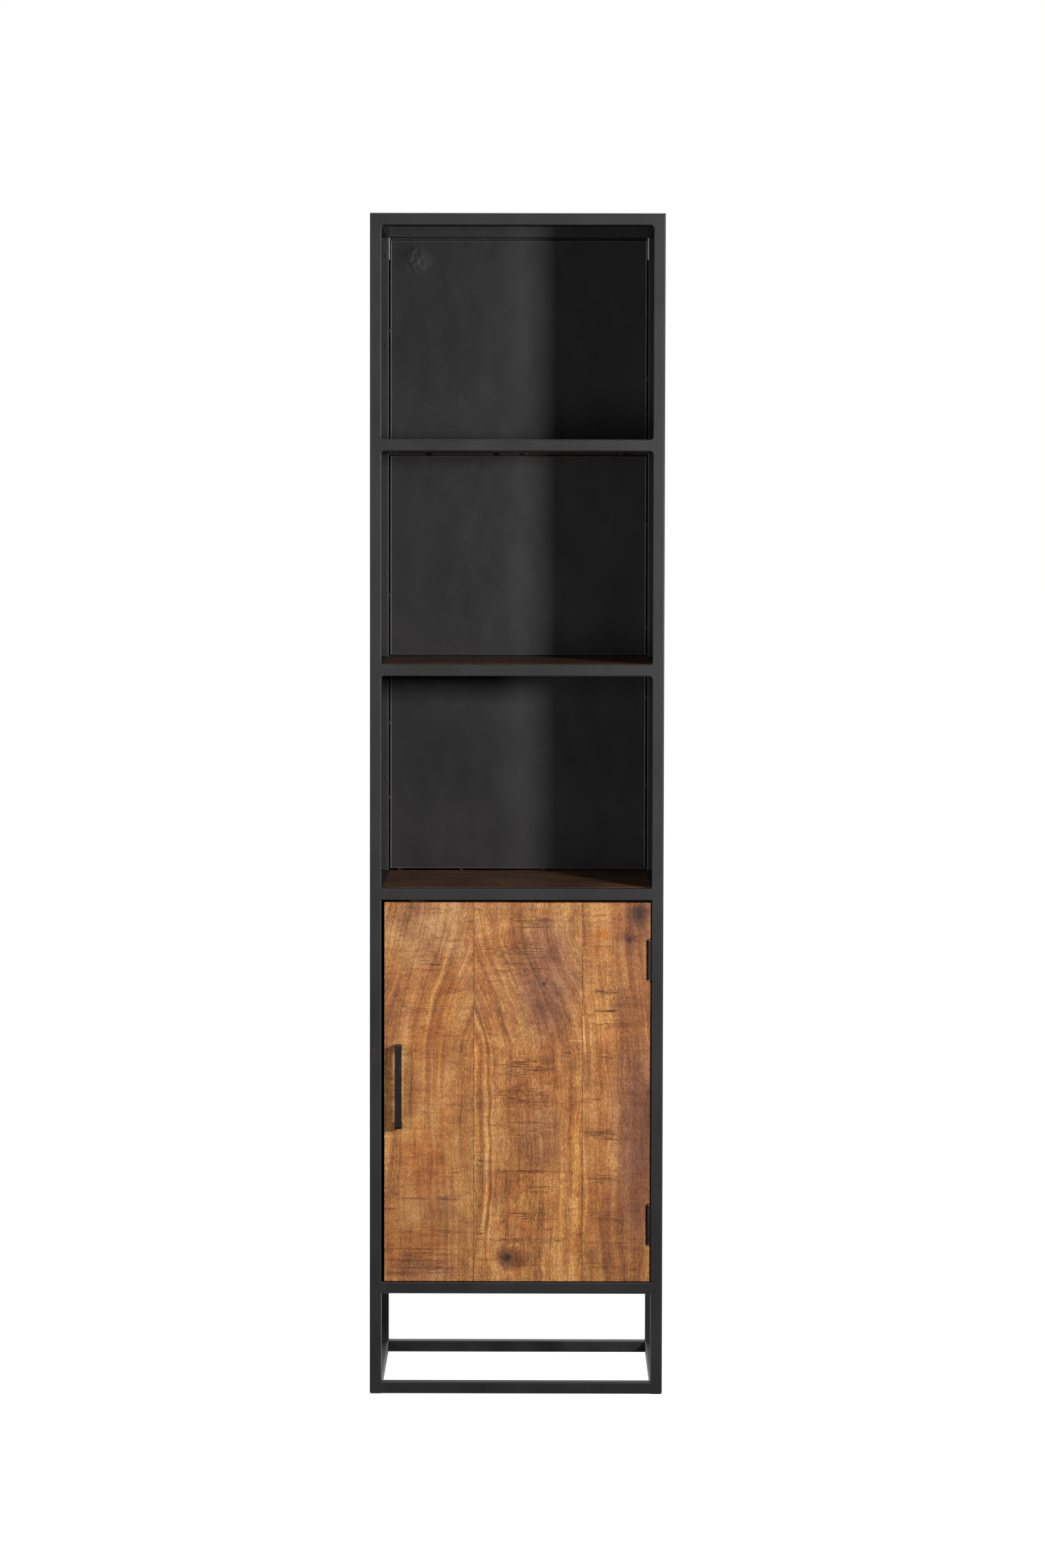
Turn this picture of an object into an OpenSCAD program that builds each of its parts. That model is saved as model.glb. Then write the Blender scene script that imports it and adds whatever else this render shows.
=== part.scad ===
// Narrow bookcase: a welded square-tube frame with three open bays above a
// small cupboard.  The front faces -Y, +Z is up, and the origin is the middle
// of the whole object's footprint (handle included) at floor level.

/* [Overall size] */
// Width over the side tubes
body_w = 450; // [380:1:600]
// Depth over the frame and the back panels' rims, without the handle
body_d = 350; // [300:1:450]
// Height from the floor to the top rails
body_h = 1810; // [1600:1:2000]

/* [Levels] */
// Height of the cupboard's top shelf
cupboard_top = 780; // [700:1:900]
// Height of the cupboard's floor
cupboard_floor_z = 173; // [120:1:220]

/* [Frame tube] */
// Outside width of the square tube
tube = 18; // [16:0.5:22]
// Wall of the tube
tube_wall = 1.5; // [1.2:0.1:2]
// Outside radius of the tube's long edges
tube_r = 2; // [1.5:0.1:3]
// Radius ground on the bottom outer corners
foot_r = 3; // [1:0.5:5]

/* [Sheet panels] */
// Thickness of the sheet steel
sheet = 1; // [0.8:0.1:1.2]
// Depth of the turned-in rim of the side and top panels
rim_depth = 13; // [10:0.5:15]
// Gap between a back panel and the tubes beside and below it
back_gap = 2.4; // [2:0.1:5]
// Gap between a back panel and the tube above it
back_gap_top = 4; // [2:0.1:5]
// Overlap of a back panel's rear rim behind the tubes
back_lap = 7; // [5:0.5:8]
// Outside bend radius of the panels
bend_r = 2; // [1.5:0.1:3]
// Height of the notches at the upper ends of the top back panel's rim
notch_h = 30; // [10:1:40]

/* [Boards] */
// Thickness of the shelf boards
board_t = 16; // [14:0.5:16]
// Joint between a shelf board and the rails around it
board_joint = 0.6; // [0.4:0.1:1]

/* [Adjustable shelf] */
// Number of holes in each perforated strip
strip_holes = 11; // [7:2:13]
// Distance between those holes
strip_pitch = 32; // [25:1:40]

/* [Door] */
// Thickness of the door's boards
door_t = 18; // [16:0.5:18]
// Clearance on the handle side
door_gap_side = 4.3; // [3:0.1:7]
// Clearance on the hinge side
door_gap_hinge = 1.6; // [1.4:0.1:2]
// Clearance above the door
door_gap_top = 3.5; // [2:0.1:5]
// Clearance below the door
door_gap_bottom = 1.5; // [1:0.1:4]
// Width of the board that carries the handle
door_board_1 = 137.3; // [110:0.1:150]
// Width of the middle board
door_board_2 = 166.8; // [140:0.1:180]

/* [Handle] */
// Length of the bar handle
handle_h = 128; // [110:1:160]
// Width of its bar
handle_w = 10.5; // [8:0.5:12]
// Thickness of its bar
handle_bar_t = 4; // [3:0.5:8]
// Thickness of its two legs
handle_leg_t = 8; // [7:0.5:10]
// How far it stands out of the door
handle_out = 26; // [24:1:40]
// From the door's free edge to the handle's centre line
handle_inset = 22.1; // [16:0.1:30]
// From the door's top to the handle's top
handle_drop = 218; // [150:1:300]

/* [Hinges] */
// Length of a hinge
hinge_h = 60; // [50:1:70]
// Radius of its knuckles
knuckle_r = 3; // [2.8:0.1:3.2]
// Thickness of its leaves
leaf_t = 1.2; // [1:0.1:1.4]
// Reach of a leaf behind the pin
leaf_w = 14; // [12:0.5:14]
// From the door's top to the upper hinge's centre
hinge_drop = 88; // [60:1:140]
// From the door's bottom to the lower hinge's centre
hinge_rise = 87; // [60:1:140]

/* [Hidden] */
$fn = 32;
// Length by which a cutting shape passes the surface it cuts
over = 1;

steel = [0.16, 0.16, 0.165];
sheet_black = [0.13, 0.13, 0.14];
dark_wood = [0.26, 0.17, 0.12];
mango_wood = [0.74, 0.53, 0.35];
zinc = [0.55, 0.55, 0.53];

// Frame: inner faces, front and rear planes
frame_d = body_d - sheet;
inner_x = body_w / 2 - tube;
front_y = -(body_d - handle_out) / 2;
rear_y = front_y + frame_d - tube;
side_y0 = front_y + tube;

// Heights of the rails' top faces, from the top down
bay_pitch = (body_h - cupboard_top) / 3;
shelf_1_z = body_h - bay_pitch;
shelf_2_z = body_h - 2 * bay_pitch;
levels = [body_h, shelf_1_z, shelf_2_z, cupboard_top, cupboard_floor_z, tube];
// Clear openings between levels, each [bottom, top]: three bays, then the cupboard
bays = [for (i = [0:3]) [levels[i + 1], levels[i] - tube]];

// Panels: clearance of a tray in the frame, setback of the back panels' faces
// behind the rear rails' front, and width of the slit that the rim notches
// leave open beside the posts
fit_gap = 0.2;
back_face = 0.5;
slit = 0.3;

// Boards and what holds them
tab_t = tube - board_t;
tab_size = 20;
tab_inset = 40;
tab_y = [side_y0 + tab_inset, rear_y - tab_inset];
wood_screw_r = 1.75;
wood_screw_l = 10;
wood_head_r = 3.2;
wood_head_t = 1.8;
board_levels = [shelf_1_z, shelf_2_z, cupboard_top, cupboard_floor_z];

// Adjustable shelf
strip_w = 20;
strip_t = 2;
strip_inset = 30;
strip_y = [side_y0 + strip_inset, rear_y - strip_inset];
strip_hole_r = 2.5;
strip_mid_z = (bays[3][0] + bays[3][1]) / 2;
shelf_slot = (strip_holes - 1) / 2;
strip_x = inner_x + tube_r;
pin_in = 7;
pin_out = 12;
pin_flange_r = 4;
pin_flange_t = 1;
pin_shelf_gap = 0.1;
inner_shelf_z = strip_mid_z + strip_hole_r + pin_shelf_gap;
inner_shelf_gap = 2;
inner_shelf_setback = 5;

// Door
door_x0 = -inner_x + door_gap_side;
door_x1 = inner_x - door_gap_hinge;
door_z0 = cupboard_floor_z + door_gap_bottom;
door_z1 = cupboard_top - tube - door_gap_top;
seam_1 = door_x0 + door_board_1;
seam_2 = seam_1 + door_board_2;

// Handle
handle_x = door_x0 + handle_inset;
handle_z1 = door_z1 - handle_drop;
handle_z0 = handle_z1 - handle_h;
handle_screw_r = 2;
handle_screw_grip = 14;
handle_head_r = 4;
handle_head_t = 2.4;
handle_bend_r = 4;

// Hinges
knuckle_off = 0.3;
hinge_inset = 1.5;
hinge_x = inner_x - knuckle_r - knuckle_off;
hinge_y = front_y + hinge_inset;
hinge_zs = [door_z1 - hinge_drop, door_z0 + hinge_rise];
knuckles = 5;
knuckle_h = hinge_h / knuckles;
knuckle_gap = 0.15;
pin_r = 1.5;
pin_play = 0.05;
pin_head_r = 2.6;
pin_head_t = 1.6;
leaf_clear = 0.4;
leaf_screw_y = 9;
leaf_screw_pitch = 22;
frame_screw_l = 6;

// Routed clearance round a hinge's knuckles
rout_w = 6.6;
rout_d = 6;
rout_r = 3;
rout_above = 3;
rout_below = 4;

// Magnetic catch, under the cupboard's top board, and the door's strike plate
catch_inset = 50;
catch_x = door_x0 + catch_inset;
catch_w = 44;
catch_body_w = 22;
catch_d = 14;
catch_h = 16;
catch_screw_pitch = 32;
catch_screw_back = 5;
ear_t = 2;
ear_setback = 3;
pole_w = 18;
pole_t = 1.2;
pole_out = 0.4;
pole_gap = 0.3;
pole_rise = [2, 7];
strike_w = 38;
strike_h = 12;
strike_t = 1.2;
strike_drop = 10;
strike_z = cupboard_top - tube - strike_drop;
catch_y = front_y + door_t + strike_t + pole_gap + pole_out;
board_underside = cupboard_top - board_t;

// ---- shared shapes ----

// Square with rounded corners, centred
module round_square(size, r) {
    square([size, size - 2 * r], center = true);
    square([size - 2 * r, size], center = true);
    for (sx = [-1, 1], sy = [-1, 1])
        translate([sx * (size / 2 - r), sy * (size / 2 - r)]) circle(r);
}

// Square tube standing on z = 0, centred on its axis
module square_tube(length) {
    linear_extrude(length) difference() {
        round_square(tube, tube_r);
        square(tube - 2 * tube_wall, center = true);
    }
}

// Rail along X between x0 and x1; y0 is its front face and z1 its top face
module rail_x(x0, x1, y0, z1) {
    translate([x0, y0 + tube / 2, z1 - tube / 2]) rotate([0, 90, 0]) square_tube(x1 - x0);
}

// Rail along Y at one side, between the front and rear posts
module rail_y(side, z1) {
    translate([side * (inner_x + tube / 2), side_y0, z1 - tube / 2])
        rotate([-90, 0, 0]) square_tube(rear_y - side_y0);
}

// Wedge that leaves the 45 degree mitre at a top corner, on the +X side
module mitre_tool(keep_below, y0) {
    translate([inner_x, y0 - over, body_h - tube]) rotate([0, -45, 0])
        translate([-2 * tube, 0, keep_below ? 0 : -2 * tube])
            cube([5 * tube, tube + 2 * over, 2 * tube]);
}

// Box from two opposite corners
module block(a, b) {
    translate(a) cube(b - a);
}

// Section of a tray: w wide, d deep, its two lower corners rounded
module tray_section(w, d, r) {
    translate([-w / 2, r]) square([w, d - r]);
    translate([-w / 2 + r, 0]) square([w - 2 * r, d]);
    for (s = [-1, 1]) translate([s * (w / 2 - r), r]) circle(r);
}

// Solid with a tray's outside form: face on z = 0, walls towards +Z
module tray_form(w, h, d, r) {
    intersection() {
        translate([0, h / 2, 0]) rotate([90, 0, 0]) linear_extrude(h) tray_section(w, d, r);
        translate([-w / 2, 0, 0]) rotate([90, 0, 90]) linear_extrude(w) tray_section(h, d, r);
    }
}

// Sheet tray with bent edges
module tray(w, h, d) {
    difference() {
        tray_form(w, h, d, bend_r);
        translate([0, 0, sheet]) tray_form(w - 2 * sheet, h - 2 * sheet, d, bend_r - sheet);
    }
}

// Countersunk screw pointing to -Z, its head's face on z = 0
module sunk_screw(head_r, head_t, shank_r, length) {
    rotate_extrude() polygon([
        [0, 0], [head_r, 0], [shank_r, -head_t], [shank_r, -length], [0, -length]
    ]);
}

// Domed head standing on z = 0
module round_head(r, t) {
    intersection() {
        translate([0, 0, t - r]) sphere(r);
        cylinder(h = r, r = r);
    }
}

// Wood screw pointing to -Z, its round head standing on z = 0
module wood_screw() {
    round_head(wood_head_r, wood_head_t);
    translate([0, 0, -wood_screw_l]) cylinder(h = wood_screw_l, r = wood_screw_r);
}

// ---- frame ----

module post(side, rear) {
    y0 = rear ? rear_y : front_y;
    color(steel) mirror([side < 0 ? 1 : 0, 0, 0]) difference() {
        union() {
            translate([inner_x + tube / 2, y0 + tube / 2, 0]) square_tube(body_h);
            translate([inner_x + tube_wall, y0 + tube_wall, 0])
                cube([tube - 2 * tube_wall, tube - 2 * tube_wall, tube_wall]);
        }
        mitre_tool(true, y0);
        translate([body_w / 2 - foot_r, y0 - over, foot_r]) rotate([-90, 0, 0])
            linear_extrude(tube + 2 * over) difference() {
                square(2 * foot_r);
                circle(foot_r);
            }
        if (side > 0 && !rear) for (z = hinge_zs) leaf_screw_places(z) frame_screw_hole();
    }
}

module top_rail(y0) {
    color(steel) difference() {
        rail_x(-body_w / 2, body_w / 2, y0, body_h);
        for (m = [0, 1]) mirror([m, 0, 0]) mitre_tool(false, y0);
    }
}

module cross_rail(y0, z1) {
    color(steel) rail_x(-inner_x, inner_x, y0, z1);
}

module side_rail(side, z1) {
    color(steel) rail_y(side, z1);
}

// ---- sheet panels ----

module top_panel() {
    color(sheet_black) translate([0, (side_y0 + rear_y) / 2, body_h]) mirror([0, 0, 1])
        tray(2 * inner_x - 2 * fit_gap, rear_y - side_y0 - 2 * fit_gap, rim_depth);
}

module side_panels(side) {
    color(sheet_black) for (bay = bays)
        translate([side * body_w / 2, (side_y0 + rear_y) / 2, (bay[0] + bay[1]) / 2])
            rotate([0, -side * 90, 0])
                tray(bay[1] - bay[0] - 2 * fit_gap, rear_y - side_y0 - 2 * fit_gap, rim_depth);
}

// Back panel: a tray facing forward, with a rim lapping behind the tubes
module back_panel(bay, notched = false) {
    bay_w = 2 * inner_x;
    bay_h = bay[1] - bay[0];
    w = bay_w - 2 * back_gap;
    h = bay_h - back_gap - back_gap_top;
    depth = tube - back_face + sheet;
    lowered = [0, (back_gap_top - back_gap) / 2];
    color(sheet_black) translate([0, rear_y + back_face, (bay[0] + bay[1]) / 2])
        rotate([-90, 0, 0]) {
            translate(lowered) tray(w, h, depth);
            translate([0, 0, depth - sheet]) linear_extrude(sheet) difference() {
                square([bay_w + 2 * back_lap, bay_h + 2 * back_lap], center = true);
                translate(lowered) square([w - sheet, h - sheet], center = true);
                if (notched) for (s = [-1, 1])
                    translate([s * (bay_w / 2 + back_lap), -bay_h / 2 - back_lap])
                        square([2 * (back_lap + slit), 2 * (back_lap + back_gap_top + notch_h)],
                               center = true);
            }
        }
}

// ---- shelf boards and their fixings ----

module shelf_board(z1) {
    color(dark_wood) difference() {
        block([-inner_x + board_joint, side_y0 + board_joint, z1 - board_t],
              [inner_x - board_joint, rear_y - board_joint, z1]);
        tab_places(z1) translate([0, 0, -wood_screw_l]) cylinder(h = wood_screw_l, r = wood_screw_r);
        if (z1 == cupboard_top) catch_screw_places()
            translate([0, 0, -wood_screw_l]) cylinder(h = wood_screw_l, r = wood_screw_r);
    }
}

// Places of the tabs' screws, each pointing up into the board
module tab_places(z1) {
    for (side = [-1, 1], y = tab_y)
        translate([side * (inner_x - tab_size / 2), y, z1 - tube]) rotate([180, 0, 0]) children();
}

module board_tabs() {
    color(steel) for (z1 = board_levels, side = [-1, 1], y = tab_y)
        translate([side * (inner_x - tab_size / 2), y, z1 - tube]) difference() {
            translate([-tab_size / 2, -tab_size / 2, 0]) cube([tab_size, tab_size, tab_t]);
            cylinder(h = 3 * tab_t, r = wood_screw_r, center = true);
        }
}

module board_screws() {
    color(zinc) for (z1 = board_levels) tab_places(z1) wood_screw();
    color(zinc) catch_screw_places() wood_screw();
}

// ---- adjustable shelf in the cupboard ----

module inner_shelf() {
    color(dark_wood)
        block([-inner_x + inner_shelf_gap, side_y0 + inner_shelf_setback, inner_shelf_z],
              [inner_x - inner_shelf_gap, rear_y - inner_shelf_gap, inner_shelf_z + board_t]);
}

// Perforated strips, welded between the side rails
module shelf_strips(side) {
    color(steel) for (y = strip_y) difference() {
        translate([side * (strip_x + strip_t / 2), y, strip_mid_z])
            cube([strip_t, strip_w, bays[3][1] - bays[3][0]], center = true);
        for (k = [-shelf_slot:shelf_slot])
            translate([side * strip_x, y, strip_mid_z + k * strip_pitch]) rotate([0, 90, 0])
                cylinder(h = 3 * strip_t, r = strip_hole_r, center = true);
    }
}

// Pins in the middle holes; the shelf rests on them
module shelf_pins() {
    color(zinc) for (side = [-1, 1], y = strip_y)
        translate([side * strip_x, y, strip_mid_z]) rotate([0, -side * 90, 0]) {
            translate([0, 0, -pin_in]) cylinder(h = pin_in + pin_out, r = strip_hole_r);
            intersection() {
                cylinder(h = pin_flange_t, r = pin_flange_r);
                translate([side > 0 ? -pin_flange_r : -strip_hole_r, -pin_flange_r, 0])
                    cube([pin_flange_r + strip_hole_r, 2 * pin_flange_r, pin_flange_t]);
            }
        }
}

// ---- magnetic catch ----

// Places of the catch's screws, each pointing up into the board
module catch_screw_places() {
    for (s = [-1, 1])
        translate([catch_x + s * catch_screw_pitch / 2, catch_y + catch_d - catch_screw_back,
                   board_underside - ear_t])
            rotate([180, 0, 0]) children();
}

module magnetic_catch() {
    catch_z = board_underside - catch_h;
    color(sheet_black) difference() {
        union() {
            block([catch_x - catch_body_w / 2, catch_y, catch_z],
                  [catch_x + catch_body_w / 2, catch_y + catch_d, board_underside]);
            block([catch_x - catch_w / 2, catch_y + ear_setback, board_underside - ear_t],
                  [catch_x + catch_w / 2, catch_y + catch_d, board_underside]);
        }
        catch_screw_places() cylinder(h = 3 * ear_t, r = wood_screw_r, center = true);
    }
    color(zinc) for (dz = pole_rise)
        block([catch_x - pole_w / 2, catch_y - pole_out, catch_z + dz],
              [catch_x + pole_w / 2, catch_y, catch_z + dz + pole_t]);
}

// ---- door ----

// One board of the door, between x0 and x1
module door_board(x0, x1) {
    block([x0, front_y, door_z0], [x1, front_y + door_t, door_z1]);
}

module door_board_left() {
    color(mango_wood) difference() {
        door_board(door_x0, seam_1);
        handle_screw_places() handle_screw_shank();
        strike_screw_place() wood_hole();
    }
}

module door_board_middle() {
    color(mango_wood) door_board(seam_1, seam_2);
}

// Board on the hinge side, routed for the leaves and the knuckles
module door_board_right() {
    color(mango_wood) difference() {
        door_board(seam_2, door_x1);
        for (z = hinge_zs) {
            block([hinge_x - knuckle_r, front_y - over, z - hinge_h / 2 - leaf_clear],
                  [door_x1 + over, hinge_y + leaf_w + leaf_clear, z + hinge_h / 2 + leaf_clear]);
            knuckle_notch(z);
            leaf_screw_places(z) door_leaf_side() wood_hole();
        }
    }
}

// Routed clearance round the knuckles, with rounded inner corners
module knuckle_notch(z) {
    z0 = z - hinge_h / 2 - rout_below;
    z1 = z + hinge_h / 2 + rout_above;
    translate([door_x1 - rout_w, front_y + rout_d, 0]) rotate([90, 0, 0])
        linear_extrude(rout_d + over) {
            translate([rout_r, z0]) square([rout_w, z1 - z0]);
            translate([0, z0 + rout_r]) square([rout_w + rout_r, z1 - z0 - 2 * rout_r]);
            for (zc = [z0 + rout_r, z1 - rout_r]) translate([rout_r, zc]) circle(rout_r);
        }
}

module wood_hole() {
    translate([0, 0, -wood_screw_l]) cylinder(h = wood_screw_l + over, r = wood_screw_r);
}

// ---- handle ----

// Side view of a handle whose bar and legs are thinner by the two insets
module handle_profile(bar_inset, leg_inset, r) {
    w = handle_out - bar_inset;
    h = handle_h - 2 * leg_inset;
    translate([-w, -h / 2 + r]) square([w + over, h - 2 * r]);
    translate([-w + r, -h / 2]) square([w - r + over, h]);
    for (s = [-1, 1]) translate([-w + r, s * (h / 2 - r)]) circle(r);
}

module door_handle() {
    color(sheet_black) difference() {
        translate([handle_x - handle_w / 2, front_y, (handle_z0 + handle_z1) / 2])
            rotate([90, 0, 90]) linear_extrude(handle_w) difference() {
                handle_profile(0, 0, handle_bend_r);
                handle_profile(handle_bar_t, handle_leg_t, handle_bend_r / 2);
                translate([0, -handle_h]) square([2 * over, 2 * handle_h]);
            }
        handle_screw_places() handle_screw_shank();
    }
}

// Places of the handle's screws: pointing forward from the door's back
module handle_screw_places() {
    for (z = [handle_z0 + handle_leg_t / 2, handle_z1 - handle_leg_t / 2])
        translate([handle_x, front_y + door_t, z]) rotate([-90, 0, 0]) children();
}

module handle_screw_shank() {
    translate([0, 0, -door_t - handle_screw_grip])
        cylinder(h = door_t + handle_screw_grip, r = handle_screw_r);
}

module handle_screws() {
    color(zinc) handle_screw_places() {
        handle_screw_shank();
        round_head(handle_head_r, handle_head_t);
    }
}

// ---- strike plate ----

module strike_screw_place() {
    translate([catch_x, front_y + door_t, strike_z]) rotate([-90, 0, 0]) children();
}

module strike_plate() {
    color(zinc) difference() {
        block([catch_x - strike_w / 2, front_y + door_t, strike_z - strike_h / 2],
              [catch_x + strike_w / 2, front_y + door_t + strike_t, strike_z + strike_h / 2]);
        strike_screw_place() translate([0, 0, strike_t]) leaf_screw();
    }
}

// ---- hinges ----

// Screw of a hinge leaf or the strike plate, its head's face on z = 0
module leaf_screw() {
    sunk_screw(wood_head_r, leaf_t, wood_screw_r, leaf_t + wood_screw_l);
}

// The three screw places of a hinge centred at height z, on its pin's axis
module leaf_screw_places(z) {
    for (k = [-1:1]) translate([hinge_x, hinge_y + leaf_screw_y, z + k * leaf_screw_pitch]) children();
}

// From a screw place to the door leaf's outer face, pointing into the door
module door_leaf_side() {
    translate([-knuckle_r, 0, 0]) rotate([0, 90, 0]) children();
}

// From a screw place to the post's inner face, pointing into the post
module frame_leaf_side() {
    translate([inner_x - hinge_x, 0, 0]) rotate([0, -90, 0]) children();
}

module frame_screw_hole() {
    frame_leaf_side() translate([0, 0, -frame_screw_l])
        cylinder(h = frame_screw_l + over, r = wood_screw_r);
}

// Leaf of a hinge centred at z.  side is +1 on the post and -1 on the door;
// own lists the knuckles it carries, counted from the bottom.
module hinge_leaf(z, side, own, bore_r) {
    z0 = z - hinge_h / 2;
    x0 = side > 0 ? inner_x - leaf_t : hinge_x - knuckle_r;
    difference() {
        union() {
            block([x0, hinge_y + knuckle_r + leaf_clear, z0],
                  [x0 + leaf_t, hinge_y + leaf_w, z0 + hinge_h]);
            for (k = own) {
                za = z0 + k * knuckle_h + knuckle_gap;
                zb = z0 + (k + 1) * knuckle_h - knuckle_gap;
                translate([hinge_x, hinge_y, za]) cylinder(h = zb - za, r = knuckle_r);
                block([x0, hinge_y, za], [x0 + leaf_t, hinge_y + leaf_w / 2, zb]);
            }
        }
        translate([hinge_x, hinge_y, z0 - over]) cylinder(h = hinge_h + 2 * over, r = bore_r);
        leaf_screw_places(z) {
            if (side > 0) frame_leaf_side() translate([0, 0, leaf_t]) leaf_screw();
            else door_leaf_side() translate([0, 0, leaf_t]) leaf_screw();
        }
    }
}

module frame_leaf(z) {
    color(steel) hinge_leaf(z, 1, [0, 2, 4], pin_r);
}

module door_leaf(z) {
    color(steel) hinge_leaf(z, -1, [1, 3], pin_r + pin_play);
}

module hinge_pins() {
    color(zinc) for (z = hinge_zs) translate([hinge_x, hinge_y, z - hinge_h / 2]) {
        cylinder(h = hinge_h, r = pin_r);
        translate([0, 0, hinge_h]) round_head(pin_head_r, pin_head_t);
    }
}

module hinge_frame_screws() {
    color(zinc) for (z = hinge_zs) leaf_screw_places(z) frame_leaf_side()
        translate([0, 0, leaf_t]) sunk_screw(wood_head_r, leaf_t, wood_screw_r, leaf_t + frame_screw_l);
}

// Wood screws of the two door leaves and of the strike plate
module door_screws() {
    color(zinc) {
        for (z = hinge_zs) leaf_screw_places(z) door_leaf_side() translate([0, 0, leaf_t]) leaf_screw();
        strike_screw_place() translate([0, 0, strike_t]) leaf_screw();
    }
}

post(-1, false);  // post_front_left
post(1, false);  // post_front_right
post(-1, true);  // post_rear_left
post(1, true);  // post_rear_right
top_rail(front_y);  // top_rail_front
top_rail(rear_y);  // top_rail_rear
side_rail(-1, body_h);  // top_rail_left
side_rail(1, body_h);  // top_rail_right
cross_rail(front_y, shelf_1_z);  // shelf_1_rail_front
cross_rail(rear_y, shelf_1_z);  // shelf_1_rail_rear
side_rail(-1, shelf_1_z);  // shelf_1_rail_left
side_rail(1, shelf_1_z);  // shelf_1_rail_right
cross_rail(front_y, shelf_2_z);  // shelf_2_rail_front
cross_rail(rear_y, shelf_2_z);  // shelf_2_rail_rear
side_rail(-1, shelf_2_z);  // shelf_2_rail_left
side_rail(1, shelf_2_z);  // shelf_2_rail_right
cross_rail(front_y, cupboard_top);  // shelf_3_rail_front
cross_rail(rear_y, cupboard_top);  // shelf_3_rail_rear
side_rail(-1, cupboard_top);  // shelf_3_rail_left
side_rail(1, cupboard_top);  // shelf_3_rail_right
cross_rail(front_y, cupboard_floor_z);  // floor_rail_front
cross_rail(rear_y, cupboard_floor_z);  // floor_rail_rear
side_rail(-1, cupboard_floor_z);  // floor_rail_left
side_rail(1, cupboard_floor_z);  // floor_rail_right
cross_rail(front_y, tube);  // base_rail_front
cross_rail(rear_y, tube);  // base_rail_rear
side_rail(-1, tube);  // base_rail_left
side_rail(1, tube);  // base_rail_right
top_panel();
side_panels(-1);  // side_panels_left
side_panels(1);  // side_panels_right
back_panel(bays[0], notched = true);  // back_panel_1
back_panel(bays[1]);  // back_panel_2
back_panel(bays[2]);  // back_panel_3
back_panel(bays[3]);  // cupboard_back_panel
shelf_board(shelf_1_z);  // shelf_board_1
shelf_board(shelf_2_z);  // shelf_board_2
shelf_board(cupboard_top);  // shelf_board_3
shelf_board(cupboard_floor_z);  // cupboard_floor_board
board_tabs();
board_screws();
inner_shelf();
shelf_strips(-1);  // shelf_strips_left
shelf_strips(1);  // shelf_strips_right
shelf_pins();
magnetic_catch();
door_board_left();
door_board_middle();
door_board_right();
door_handle();
handle_screws();
strike_plate();
door_screws();
frame_leaf(hinge_zs[0]);  // hinge_upper_frame_leaf
door_leaf(hinge_zs[0]);  // hinge_upper_door_leaf
frame_leaf(hinge_zs[1]);  // hinge_lower_frame_leaf
door_leaf(hinge_zs[1]);  // hinge_lower_door_leaf
hinge_pins();
hinge_frame_screws();
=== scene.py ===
"""Looks, studio and camera for the narrow steel and wood bookcase, in metres in the CAD frame."""

import math

import bmesh
import bpy
from mathutils import Matrix, Vector, noise


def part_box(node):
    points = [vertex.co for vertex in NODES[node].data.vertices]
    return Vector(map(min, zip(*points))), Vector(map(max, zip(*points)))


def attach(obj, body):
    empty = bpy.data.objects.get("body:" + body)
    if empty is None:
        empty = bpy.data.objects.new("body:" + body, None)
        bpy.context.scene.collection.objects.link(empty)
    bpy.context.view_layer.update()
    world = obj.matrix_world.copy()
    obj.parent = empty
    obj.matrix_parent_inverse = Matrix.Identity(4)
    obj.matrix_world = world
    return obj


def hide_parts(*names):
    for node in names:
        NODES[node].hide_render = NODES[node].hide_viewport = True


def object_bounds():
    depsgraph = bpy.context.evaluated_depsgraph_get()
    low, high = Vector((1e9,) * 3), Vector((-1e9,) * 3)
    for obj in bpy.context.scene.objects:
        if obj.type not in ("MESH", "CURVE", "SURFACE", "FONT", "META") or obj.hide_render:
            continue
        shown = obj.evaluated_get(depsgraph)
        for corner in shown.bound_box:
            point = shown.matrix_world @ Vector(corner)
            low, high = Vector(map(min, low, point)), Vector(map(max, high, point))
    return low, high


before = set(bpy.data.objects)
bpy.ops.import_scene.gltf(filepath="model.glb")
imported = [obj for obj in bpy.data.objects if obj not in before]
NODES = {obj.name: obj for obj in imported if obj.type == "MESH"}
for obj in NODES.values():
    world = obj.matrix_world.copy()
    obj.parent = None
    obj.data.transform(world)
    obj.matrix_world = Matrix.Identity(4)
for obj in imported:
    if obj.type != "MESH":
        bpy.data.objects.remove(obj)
CAD_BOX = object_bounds()

MM = 0.001
SCENE = bpy.context.scene


def node_box(name):
    """A CAD node's lowest and highest corners at rest."""
    return [Vector(corner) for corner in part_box(name)]


# ---- numbers for the finishes ----

def srgb(red, green, blue):
    """A colour given as 0 to 255 in sRGB, as the linear RGBA that nodes take."""
    def linear(value):
        value /= 255
        return value / 12.92 if value <= 0.04045 else ((value + 0.055) / 1.055) ** 2.4
    return (linear(red), linear(green), linear(blue), 1.0)


PAINT_DARK = srgb(29, 27, 28)
PAINT_LIGHT = srgb(39, 37, 38)
PAINT_WORN = srgb(78, 72, 66)
SHEET_DARK = srgb(31, 28, 30)
SHEET_LIGHT = srgb(41, 38, 40)
# Painted highlight colour for the frame tubes' rounded edges
EDGE_HIGHLIGHT = srgb(138, 134, 130)
# Painted highlight colour for the sheets' upright bends
BEND_HIGHLIGHT = srgb(214, 208, 200)
DUST = srgb(120, 118, 114)

WOOD_DEEP = srgb(126, 70, 32)
WOOD_MID = srgb(202, 132, 66)
WOOD_PALE = srgb(246, 186, 112)
WOOD_PORE = srgb(96, 56, 30)
WOOD_SAW = srgb(74, 36, 18)
WOOD_KNOT = srgb(44, 26, 20)

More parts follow.
